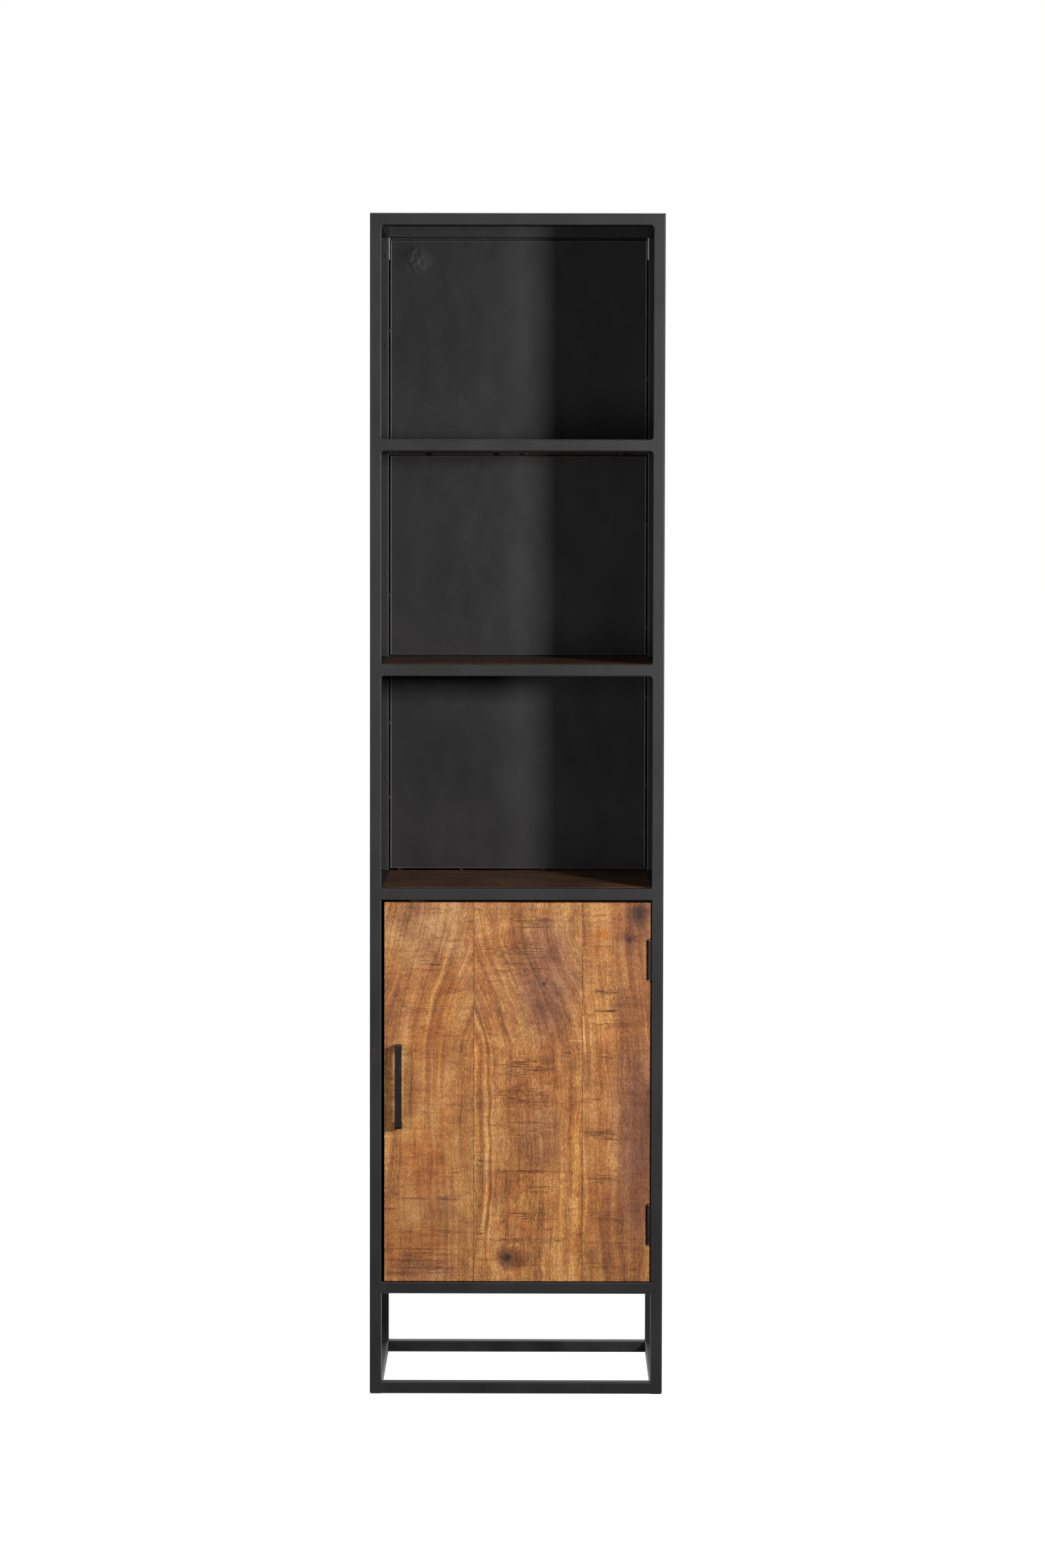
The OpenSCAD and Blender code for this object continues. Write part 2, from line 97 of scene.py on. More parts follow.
# What a stained or bleached patch of the door's wood multiplies its colour by
GOLD = (1.22, 1.20, 1.0, 1)
PALE = (1.50, 1.65, 1.80, 1)
GREY = (0.88, 1.04, 1.60, 1)
ORANGE = (0.86, 0.58, 0.32, 1)
RUST = (0.74, 0.50, 0.32, 1)
EMBER = (0.98, 0.74, 0.42, 1)
PURPLE = (0.66, 0.62, 1.05, 1)
BROWN = (0.56, 0.46, 0.50, 1)
DARK = (0.26, 0.22, 0.26, 1)

SHELF_DARK = srgb(66, 40, 26)
SHELF_MID = srgb(128, 88, 60)
SHELF_LIGHT = srgb(178, 132, 94)
SHELF_PORE = srgb(26, 16, 11)


# ---- node trees ----

class Finish:
    """One material's node tree, with short calls for the nodes that the finishes share. Lengths are mm."""

    def __init__(self, name):
        self.material = bpy.data.materials.new(name)
        self.material.use_nodes = True
        self.nodes = self.material.node_tree.nodes
        self.links = self.material.node_tree.links
        self.shader = self.nodes["Principled BSDF"]
        source = self.nodes.new("ShaderNodeTexCoord")
        self.place = self.vector("MULTIPLY", source.outputs["Object"], (1 / MM,) * 3)
        self.facing = source.outputs["Normal"]

    def node(self, kind, **settings):
        made = self.nodes.new("ShaderNode" + kind)
        for key, value in settings.items():
            setattr(made, key, value)
        return made

    def put(self, socket, value):
        if isinstance(value, bpy.types.NodeSocket):
            self.links.new(value, socket)
        else:
            socket.default_value = value

    def math(self, operation, *values):
        made = self.node("Math", operation=operation)
        for socket, value in zip(made.inputs, values):
            self.put(socket, value)
        return made.outputs[0]

    def vector(self, operation, *values):
        made = self.node("VectorMath", operation=operation)
        for socket, value in zip(made.inputs, values):
            self.put(socket, value)
        return made.outputs["Value" if operation == "LENGTH" else "Vector"]

    def split(self, vector):
        made = self.node("SeparateXYZ")
        self.put(made.inputs[0], vector)
        return made.outputs[0], made.outputs[1], made.outputs[2]

    def join(self, x, y, z):
        made = self.node("CombineXYZ")
        for socket, value in zip(made.inputs, (x, y, z)):
            self.put(socket, value)
        return made.outputs[0]

    def noise(self, place, size, detail=2.0, roughness=0.5, seed=0.0):
        """Noise about 0.5 whose blobs are about size mm along each axis."""
        stretched = self.vector("MULTIPLY_ADD", place, [1 / s for s in size], (seed, seed * 1.7, -seed))
        made = self.node("TexNoise")
        self.put(made.inputs["Vector"], stretched)
        made.inputs["Scale"].default_value = 1.0
        made.inputs["Detail"].default_value = detail
        made.inputs["Roughness"].default_value = roughness
        return made.outputs[0]

    def swing(self, value, reach):
        """A value about 0.5, as one about 0 that reaches out to about reach."""
        return self.math("MULTIPLY_ADD", value, 2 * reach, -reach)

    def step(self, value, low, high, top=1.0):
        """0 at low and top at high, smooth between them; low may be the larger one."""
        made = self.node("MapRange", interpolation_type="SMOOTHSTEP")
        self.put(made.inputs["Value"], value)
        made.inputs["From Min"].default_value = low
        made.inputs["From Max"].default_value = high
        made.inputs["To Max"].default_value = top
        return made.outputs[0]

    def ramp(self, value, *stops):
        made = self.node("ValToRGB")
        self.put(made.inputs[0], value)
        elements = made.color_ramp.elements
        while len(elements) < len(stops):
            elements.new(0.5)
        for element, (position, colour) in zip(elements, stops):
            element.position = position
            element.color = colour
        return made.outputs[0]

    def mix(self, share, a, b, blend="MIX"):
        made = self.node("Mix", data_type="RGBA", blend_type=blend)
        for socket, value in zip((made.inputs[0], made.inputs[6], made.inputs[7]), (share, a, b)):
            self.put(socket, value)
        return made.outputs[2]

    def edges(self, start, full):
        """1 where the surface turns through about 45 degrees between its flat faces, 0 on the faces."""
        x, y, z = self.split(self.vector("ABSOLUTE", self.facing))
        flat = self.math("MAXIMUM", self.math("MAXIMUM", x, y), z)
        return self.step(flat, start, full)

    def near(self, middle, size):
        """1 at a place, falling to 0 at the given distances along X, Y and Z."""
        offset = self.vector("SUBTRACT", self.place, tuple(middle))
        scaled = self.vector("MULTIPLY", offset, tuple(1 / side for side in size))
        return self.step(self.vector("LENGTH", scaled), 1.0, 0.1)

    def bump(self, height, depth, normal=None):
        """Normals for a relief of depth mm between heights 0 and 1."""
        made = self.node("Bump")
        made.inputs["Strength"].default_value = 1.0
        made.inputs["Distance"].default_value = depth * MM
        self.put(made.inputs["Height"], height)
        if normal is not None:
            self.put(made.inputs["Normal"], normal)
        return made.outputs[0]

    def finish(self, colour, roughness, normal, **fixed):
        """Links what varies over the surface to the shader, and sets the rest on its sockets."""
        self.put(self.shader.inputs["Base Color"], colour)
        self.put(self.shader.inputs["Roughness"], roughness)
        self.put(self.shader.inputs["Normal"], normal)
        for name, value in fixed.items():
            self.shader.inputs[name.replace("_", " ")].default_value = value
        return self.material


# ---- metal finishes ----

def paint_material(name, dark, light, roughness, seed):
    """Satin black paint on steel: cloudy gloss, fine orange peel, rubbed spots, a little dust, and a
    painted highlight along the rounded edges.
    """
    f = Finish(name)
    cloud = f.noise(f.place, (70, 70, 110), 3, 0.55, seed)
    peel = f.noise(f.place, (1.6, 1.6, 1.6), 2, 0.5, seed + 3)
    grit = f.noise(f.place, (0.5, 0.5, 0.5), 1, 0.5, seed + 5)
    rub = f.math("MULTIPLY", f.step(f.noise(f.place, (9, 9, 30), 4, 0.7, seed + 7), 0.60, 0.74),
                 f.step(f.noise(f.place, (1.1, 1.1, 2.5), 2, 0.6, seed + 9), 0.5, 0.66))
    dust = f.step(f.noise(f.place, (1.4, 1.4, 1.4), 1, 0.5, seed + 11), 0.74, 0.80)
    colour = f.ramp(cloud, (0.3, dark), (0.7, light))
    colour = f.mix(f.math("MULTIPLY", rub, 0.45), colour, PAINT_WORN)
    colour = f.mix(f.math("MULTIPLY", dust, 0.35), colour, DUST)
    # Painted highlight: every rounded tube edge is lightened a little and evenly, standing in for the light
    # it catches
    colour = f.mix(f.math("MULTIPLY", f.edges(0.96, 0.80), 0.16), colour, EDGE_HIGHLIGHT)
    gloss = f.math("ADD", f.swing(cloud, 0.07), roughness)
    gloss = f.math("ADD", gloss, f.swing(peel, 0.05))
    gloss = f.math("MULTIPLY_ADD", rub, 0.12, gloss)
    relief = f.math("MULTIPLY_ADD", grit, 0.35, peel)
    return f.finish(colour, gloss, f.bump(relief, 0.035))


# Middles of the knocked corner and of the dusty patch on the top back panel, mm
TOP_PANEL_LOW, TOP_PANEL_HIGH = [corner / MM for corner in node_box("back_panel_1")]
DENTED_CORNER = (TOP_PANEL_LOW.x + 44, TOP_PANEL_LOW.y, TOP_PANEL_HIGH.z - 44)
DUSTY_PATCH = (TOP_PANEL_LOW.x + 105, TOP_PANEL_LOW.y, TOP_PANEL_LOW.z + 62)


def sheet_material():
    """Paint on sheet steel that isn't quite flat, so that its sheen drifts in soft clouds, with a painted
    highlight along its upright bends.
    """
    f = Finish("panel_sheet")
    cloud = f.noise(f.place, (90, 90, 120), 3, 0.55, 5.0)
    peel = f.noise(f.place, (1.6, 1.6, 1.6), 2, 0.5, 8.0)
    wave = f.noise(f.place, (70, 70, 90), 1, 0.5, 12.0)
    dent = f.noise(f.place, (26, 26, 26), 1, 0.5, 16.0)
    dust = f.step(f.noise(f.place, (1.5, 1.5, 1.5), 1, 0.5, 19.0), 0.64, 0.70)
    drift = f.math("MULTIPLY", f.near(DUSTY_PATCH, (85, 60, 50)),
                   f.noise(f.place, (28, 28, 20), 2, 0.5, 23.0))
    speck = f.math("MULTIPLY", dust, f.step(drift, 0.22, 0.50))
    colour = f.ramp(cloud, (0.3, SHEET_DARK), (0.7, SHEET_LIGHT))
    colour = f.mix(f.math("MULTIPLY", speck, 0.55), colour, DUST)
    # Painted highlight: the upright bends of the sheets are lightened, standing in for light glancing off
    # them
    upright = f.step(f.math("ABSOLUTE", f.split(f.facing)[2]), 0.5, 0.2)
    bend = f.math("MULTIPLY", f.math("MULTIPLY", f.edges(0.99, 0.93), upright), 0.8)
    colour = f.mix(bend, colour, BEND_HIGHLIGHT)
    gloss = f.math("ADD", f.swing(cloud, 0.05), 0.43)
    gloss = f.math("ADD", gloss, f.swing(peel, 0.04))
    knocked = f.math("MULTIPLY", f.near(DENTED_CORNER, (34, 60, 30)),
                     f.noise(f.place, (15, 15, 15), 1, 0.5, 31.0))
    uneven = f.bump(f.math("MULTIPLY_ADD", dent, 0.25, wave), 1.3, f.bump(knocked, 2.6))
    return f.finish(colour, gloss, f.bump(peel, 0.03, uneven))


def steel_material():
    """Dark oiled steel of the hinges, rubbed bright where it has been handled."""
    f = Finish("hinge_steel")
    cloud = f.noise(f.place, (5, 5, 9), 4, 0.6, 2.0)
    scratch = f.noise(f.place, (0.25, 0.25, 6), 2, 0.6, 4.0)
    rub = f.step(cloud, 0.56, 0.72)
    colour = f.ramp(cloud, (0.35, srgb(30, 28, 27)), (0.62, srgb(52, 48, 45)), (0.8, srgb(96, 88, 80)))
    colour = f.mix(f.step(scratch, 0.66, 0.78, 0.4), colour, srgb(140, 130, 120))
    gloss = f.math("ADD", f.swing(scratch, 0.08), 0.38)
    metal = f.math("MULTIPLY_ADD", rub, 0.4, 0.35)
    f.put(f.shader.inputs["Metallic"], metal)
    return f.finish(colour, gloss, f.bump(scratch, 0.03))


def zinc_material():
    """Zinc-plated screws, pins and plates: greyish, faintly yellow, with a crystalline haze."""
    f = Finish("zinc_plated")
    cells = f.noise(f.place, (1.8, 1.8, 1.8), 3, 0.6, 1.0)
    fine = f.noise(f.place, (0.3, 0.3, 0.3), 2, 0.6, 6.0)
    colour = f.ramp(cells, (0.3, srgb(150, 148, 142)), (0.7, srgb(188, 186, 176)))
    gloss = f.math("ADD", f.swing(cells, 0.10), 0.36)
    return f.finish(colour, gloss, f.bump(fine, 0.015), Metallic=0.9)


def handle_material():
    """Black-lacquered bar steel, chipped to grey in small spots."""
    f = Finish("handle_black")
    cloud = f.noise(f.place, (7, 7, 14), 4, 0.65, 3.0)
    chip = f.math("MULTIPLY", f.step(cloud, 0.57, 0.66),
                  f.step(f.noise(f.place, (0.9, 0.9, 1.3), 2, 0.6, 8.0), 0.60, 0.68))
    colour = f.mix(chip, f.ramp(cloud, (0.3, srgb(13, 11, 10)), (0.7, srgb(24, 20, 17))), srgb(96, 92, 88))
    gloss = f.math("ADD", f.swing(cloud, 0.09), 0.42)
    return f.finish(colour, gloss, f.bump(f.noise(f.place, (1.2, 1.2, 1.2), 2, 0.5, 5.0), 0.04))


def plastic_material():
    """Moulded grey-brown plastic of the magnetic catch."""
    f = Finish("catch_plastic")
    grain = f.noise(f.place, (0.6, 0.6, 0.6), 2, 0.6, 1.0)
    cloud = f.noise(f.place, (12, 12, 12), 2, 0.5, 2.0)
    colour = f.ramp(cloud, (0.3, srgb(58, 44, 34)), (0.7, srgb(70, 54, 42)))
    return f.finish(colour, f.math("ADD", f.swing(grain, 0.06), 0.5), f.bump(grain, 0.03))


# ---- wood ----

# Narrowest half width, mm, of the spots that are pushed about coarsely, and of those pushed finely
COARSE_SPOT, FINE_SPOT = 9, 3


class Wood(Finish):
    """A sawn board. axes names the board's own directions: across, along and through the grain."""

    def __init__(self, name, axes, seed):
        super().__init__(name)
        by_name = dict(zip("XYZ", self.split(self.place)))
        self.across, self.along, self.depth = (by_name[axis] for axis in axes)
        self.own = self.join(self.across, self.along, self.depth)
        self.seed = seed
        self.coarse = self.warp(34, 14)
        self.fine = self.warp(8, 3)
        self.slight = self.warp(9, 0.7)

    def warp(self, size, reach):
        """The board's own coordinates, pushed about by up to about reach mm in blobs of size mm."""
        made = self.node("TexNoise")
        self.put(made.inputs["Vector"], self.own)
        made.inputs["Scale"].default_value = 1 / size
        made.inputs["Detail"].default_value = 3.0
        made.inputs["Roughness"].default_value = 0.55
        push = self.vector("MULTIPLY_ADD", made.outputs["Color"], (2 * reach,) * 3, (-reach,) * 3)
        return self.vector("ADD", self.own, push)

    def spot(self, where, size, inner=0.4):
        """1 in the middle of an uneven ellipse, 0 outside; where and size are (across, along)."""
        thin = min(size)
        place = self.coarse if thin > COARSE_SPOT else self.fine if thin > FINE_SPOT else self.slight
        offset = self.vector("SUBTRACT", place, (*where, 0))
        scaled = self.vector("MULTIPLY", offset, (1 / size[0], 1 / size[1], 0))
        return self.step(self.vector("LENGTH", scaled), 1.3, inner)

    def flow(self, bends, sway, knots=()):
        """Place across the grain: lines of equal value run along it and bend round the knots."""
        low = self.noise(self.own, (110, 300, 80), 1, 0.5, self.seed)
        curl = self.noise(self.own, (34, 70, 30), 2, 0.5, self.seed + 2)
        line = self.math("ADD", self.across, self.swing(low, sway))
        line = self.math("ADD", line, self.swing(curl, 7))
        for start, end, shift in bends:
            line = self.math("ADD", line, self.step(self.along, start, end, shift))
        for where, size, push in knots:
            line = self.math("MULTIPLY_ADD", self.spot(where, size, 0.0), push, line)
        return line

    def grain(self, line, dark, mid, light, pore):
        """Colour, relief and tone of plain grain that follows line."""
        s = self.seed
        flowing = self.join(line, self.along, self.depth)
        bands = self.noise(flowing, (11, 420, 40), 4, 0.6, s + 11)
        lines = self.noise(flowing, (2.0, 60, 12), 3, 0.65, s + 13)
        fibre = self.noise(flowing, (0.8, 7, 2), 2, 0.6, s + 17)
        silk = self.noise(self.coarse, (24, 13, 16), 3, 0.6, s + 19)
        cloud = self.noise(self.coarse, (55, 90, 60), 2, 0.5, s + 21)
        tone = 0.5
        for value, share in ((bands, 1.25), (lines, 0.8), (fibre, 1.15), (silk, 0.5), (cloud, 1.0)):
            tone = self.math("MULTIPLY_ADD", self.swing(value, 0.5), share, tone)
        colour = self.ramp(tone, (0.08, dark), (0.5, mid), (0.92, light))
        dashes = self.step(self.noise(flowing, (0.8, 4.2, 2), 2, 0.55, s + 23), 0.52, 0.62)
        glints = self.step(self.noise(flowing, (0.9, 5.0, 2), 2, 0.55, s + 25), 0.53, 0.66)
        colour = self.mix(self.math("MULTIPLY", dashes, 0.50), colour, pore)
        colour = self.mix(self.math("MULTIPLY", glints, 0.28), colour, light)
        relief = self.math("MULTIPLY_ADD", dashes, -0.7, fibre)
        return colour, relief, tone

    def streaks(self, colour, line, places):
        """Tints bands that follow the grain; each has a place, half width, range, tint and share."""
        for centre, half, low, high, tint, share in places:
            offset = self.math("ABSOLUTE", self.math("SUBTRACT", line, centre))
            band = self.step(offset, half, half * 0.2, share)
            fade = min(60, (high - low) / 3)
            band = self.math("MULTIPLY", band, self.step(self.along, low, low + fade))
            band = self.math("MULTIPLY", band, self.step(self.along, high, high - fade))
            colour = self.mix(band, colour, tint, "MULTIPLY")
        return colour

    def saw_marks(self, places):
        """Fine dark dashes across the grain and where they are, in the given spots and scattered."""
        s = self.seed
        slanted = self.math("MULTIPLY_ADD", self.across, 0.012, self.along)
        tilted = self.join(self.across, slanted, self.depth)
        fine = self.noise(tilted, (11, 1.2, 30), 2, 0.6, s + 29)
        broad = self.noise(tilted, (36, 2.4, 60), 4, 0.7, s + 31)
        marks = self.math("MAXIMUM", self.step(fine, 0.56, 0.64), self.step(broad, 0.55, 0.61))
        area = self.step(self.noise(self.own, (50, 16, 60), 3, 0.6, s + 37), 0.52, 0.66, 0.6)
        for where, size, strength in places:
            area = self.math("MAXIMUM", area, self.math("MULTIPLY", self.spot(where, size), strength))
        return self.math("MULTIPLY", marks, area), area


def door_wood(name, box, seed, bends, sway, stains, streaks, knots, sawn, scratches):
    """One door board. Places are shares of its width and height from its lower left; sizes are mm."""
    low, high = box

    def x_at(share):
        return (low.x + (high.x - low.x) * share) / MM

    def z_at(share):
        return (low.z + (high.z - low.z) * share) / MM

    def at(where):
        return (x_at(where[0]), z_at(where[1]))

    f = Wood(name, "XZY", seed)
    line = f.flow([(z_at(a), z_at(b), shift) for a, b, shift in bends], sway,
                  [(at(where), size, push) for where, size, push, _ in knots])
    colour, relief, tone = f.grain(line, WOOD_DEEP, WOOD_MID, WOOD_PALE, WOOD_PORE)
    warm = f.step(f.noise(f.coarse, (60, 100, 60), 3, 0.6, seed + 41), 0.46, 0.70, 0.55)
    colour = f.mix(warm, colour, ORANGE, "MULTIPLY")
    cool = f.step(f.noise(f.coarse, (45, 120, 60), 3, 0.6, seed + 47), 0.52, 0.74, 0.5)
    colour = f.mix(cool, colour, BROWN, "MULTIPLY")
    for where, size, tint, share in stains:
        colour = f.mix(f.math("MULTIPLY", f.spot(at(where), size), share), colour, tint, "MULTIPLY")
    colour = f.streaks(colour, line, [
        (x_at(u), half, z_at(a), z_at(b), tint, share) for u, half, a, b, tint, share in streaks])
    marks, area = f.saw_marks([(at(where), size, strength) for where, size, strength in sawn])
    sweep = f.noise(f.slight, (42, 4.5, 60), 3, 0.6, seed + 59)
    flat = f.step(f.math("ABSOLUTE", f.split(f.facing)[1]), 0.3, 0.7)
    bare = f.math("MULTIPLY", f.math("MULTIPLY_ADD", area, 0.60, 0.20), flat)
    colour = f.mix(f.math("MULTIPLY", f.step(sweep, 0.50, 0.62), bare), colour, RUST, "MULTIPLY")
    colour = f.mix(f.math("MULTIPLY", f.step(sweep, 0.48, 0.38), bare), colour, GOLD, "MULTIPLY")
    colour = f.mix(f.math("MULTIPLY", marks, 0.85), colour, WOOD_SAW)
    for where, size in scratches:
        line_marks = f.math("MULTIPLY", f.spot(at(where), size), f.step(sweep, 0.40, 0.52))
        colour = f.mix(f.math("MULTIPLY", line_marks, 0.75), colour, WOOD_SAW)
    for where, size, _, heart in knots:
        ring = f.spot(at(where), [side * 0.9 for side in size], 0.2)
        colour = f.mix(f.math("MULTIPLY", ring, 0.75 * heart), colour, BROWN, "MULTIPLY")
        inner = f.spot(at(where), [side * 0.4 for side in size], 0.2)
        colour = f.mix(f.math("MULTIPLY", inner, heart), colour, WOOD_KNOT)
    mottle = f.noise(f.own, (1.6, 2.4, 2), 2, 0.6, seed + 53)
    colour = f.mix(f.step(mottle, 0.50, 0.66, 0.34), colour, WOOD_DEEP)
    # Darker along each board's long edges, in uneven stretches
    for edge in (low.x, high.x):
        offset = f.math("ABSOLUTE", f.math("SUBTRACT", f.across, edge / MM))
        edge_darkening = f.math("MULTIPLY", f.step(offset, 1.3, 0.2), f.step(sweep, 0.36, 0.54, 0.75))
        colour = f.mix(f.math("MULTIPLY", edge_darkening, flat), colour, WOOD_SAW)
    relief = f.math("MULTIPLY_ADD", marks, -0.9, relief)
    gloss = f.math("ADD", f.swing(tone, 0.05), 0.50)
    return f.finish(colour, gloss, f.bump(relief, 0.16))


def shelf_wood_material(name, seed):
    """Dark-stained wood, its grain along X, dusty and rubbed pale in streaks."""
    f = Wood(name, "YXZ", seed)
    line = f.flow([], 22)
    colour, relief, tone = f.grain(line, SHELF_DARK, SHELF_MID, SHELF_LIGHT, SHELF_PORE)
    haze = f.step(f.noise(f.own, (14, 120, 40), 3, 0.6, seed + 43), 0.5, 0.75, 0.35)
    colour = f.mix(haze, colour, srgb(124, 106, 92))
    gloss = f.math("ADD", f.swing(tone, 0.08), 0.46)
    return f.finish(colour, gloss, f.bump(relief, 0.12))


# ---- mesh helpers ----

def new_piece(name, bm, material, body):
    """Turns a bmesh in the CAD frame into a piece that rides on a body."""
    mesh = bpy.data.meshes.new(name)
    bm.normal_update()
    bm.to_mesh(mesh)
    bm.free()
    mesh.materials.append(material)
    piece = bpy.data.objects.new(name, mesh)
    SCENE.collection.objects.link(piece)
    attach(piece, body)
    return piece


def box_mesh(low, high, arris=0.0):
    """Box between two corners, its twelve edges planed off by arris."""
    bm = bmesh.new()
    centre, size = (low + high) / 2, high - low
    bmesh.ops.create_cube(bm, size=1, matrix=Matrix.Translation(centre) @ Matrix.Diagonal((*size, 1)))
    if arris:
        bmesh.ops.bevel(bm, geom=bm.edges[:], offset=arris, segments=2, profile=0.5, affect="EDGES")
    return bm


def prism(bm, outlines):
    """Adds the solid between two outlines, whose points match one by one."""
    first, second = [[bm.verts.new(point) for point in outline] for outline in outlines]
    bm.faces.new(first)
    bm.faces.new(second[::-1])
    for k in range(len(first)):
        after = (k + 1) % len(first)
        bm.faces.new((first[k], second[k], second[after], first[after]))


SLOT_STEPS = 8


def rounded_slot(x0, x1, z0, z1, radius, y0, y1):
    """Prism along Y over a rectangle whose corners at x0 are rounded."""
    outline = [(x1, z0), (x1, z1)]
    for corner_z, start in ((z1 - radius, 90), (z0 + radius, 180)):
        for k in range(SLOT_STEPS + 1):
            angle = math.radians(start + 90 * k / SLOT_STEPS)
            outline.append((x0 + radius + radius * math.cos(angle), corner_z + radius * math.sin(angle)))
    bm = bmesh.new()
    face = bm.faces.new([bm.verts.new((x, y0, z)) for x, z in outline])
    side = bmesh.ops.extrude_face_region(bm, geom=[face])
    moved = [item for item in side["geom"] if isinstance(item, bmesh.types.BMVert)]
    bmesh.ops.translate(bm, vec=(0, y1 - y0, 0), verts=moved)
    bmesh.ops.recalc_face_normals(bm, faces=bm.faces[:])
    return bm


def carved(bm, cutters):
    """The solid bm with the solids in cutters taken away."""
    def as_object(part):
        mesh = bpy.data.meshes.new("cutting")
        part.to_mesh(mesh)
        part.free()
        made = bpy.data.objects.new("cutting", mesh)
        SCENE.collection.objects.link(made)
        return made
    solid = as_object(bm)
    tools = [as_object(cutter) for cutter in cutters]
    for tool in tools:
        cut = solid.modifiers.new("cut", "BOOLEAN")
        cut.operation, cut.solver, cut.object = "DIFFERENCE", "EXACT", tool
    bpy.context.view_layer.update()
    evaluated = solid.evaluated_get(bpy.context.evaluated_depsgraph_get())
    result = bmesh.new()
    result.from_mesh(evaluated.to_mesh())
    evaluated.to_mesh_clear()
    for thing in (solid, *tools):
        mesh = thing.data
        bpy.data.objects.remove(thing)
        bpy.data.meshes.remove(mesh)
    return result


# How far a weld bead's lumps stand out, as a share of its size, and the scale of their noise
LUMP_HEIGHT, LUMP_SCALE = 0.16, 2.2


def bead(bm, centre, size, seed):
    """Adds a lumpy dome of weld metal; size is its half axes."""
    made = bmesh.ops.create_icosphere(bm, subdivisions=3, radius=1.0)
    for vert in made["verts"]:
        lump = 1 + LUMP_HEIGHT * noise.noise(vert.co * LUMP_SCALE + Vector((seed, 2 * seed, -seed)))
        vert.co = centre + Vector([c * s * lump for c, s in zip(vert.co, size)])


# ---- finishes of the CAD nodes ----

paint = paint_material("frame_paint", PAINT_DARK, PAINT_LIGHT, 0.46, 1.0)
sheet = sheet_material()
shelf_wood = shelf_wood_material("shelf_wood", 7.0)

FINISHES = {
    "frame_paint": paint,
    "panel_sheet": sheet,
    "shelf_wood": shelf_wood,
    "handle_black": handle_material(),
    "hinge_steel": steel_material(),
    "zinc_plated": zinc_material(),
    "catch_plastic": plastic_material(),
}


# ---- the door's boards ----

# Width of the planed edges
ARRIS = 0.35 * MM

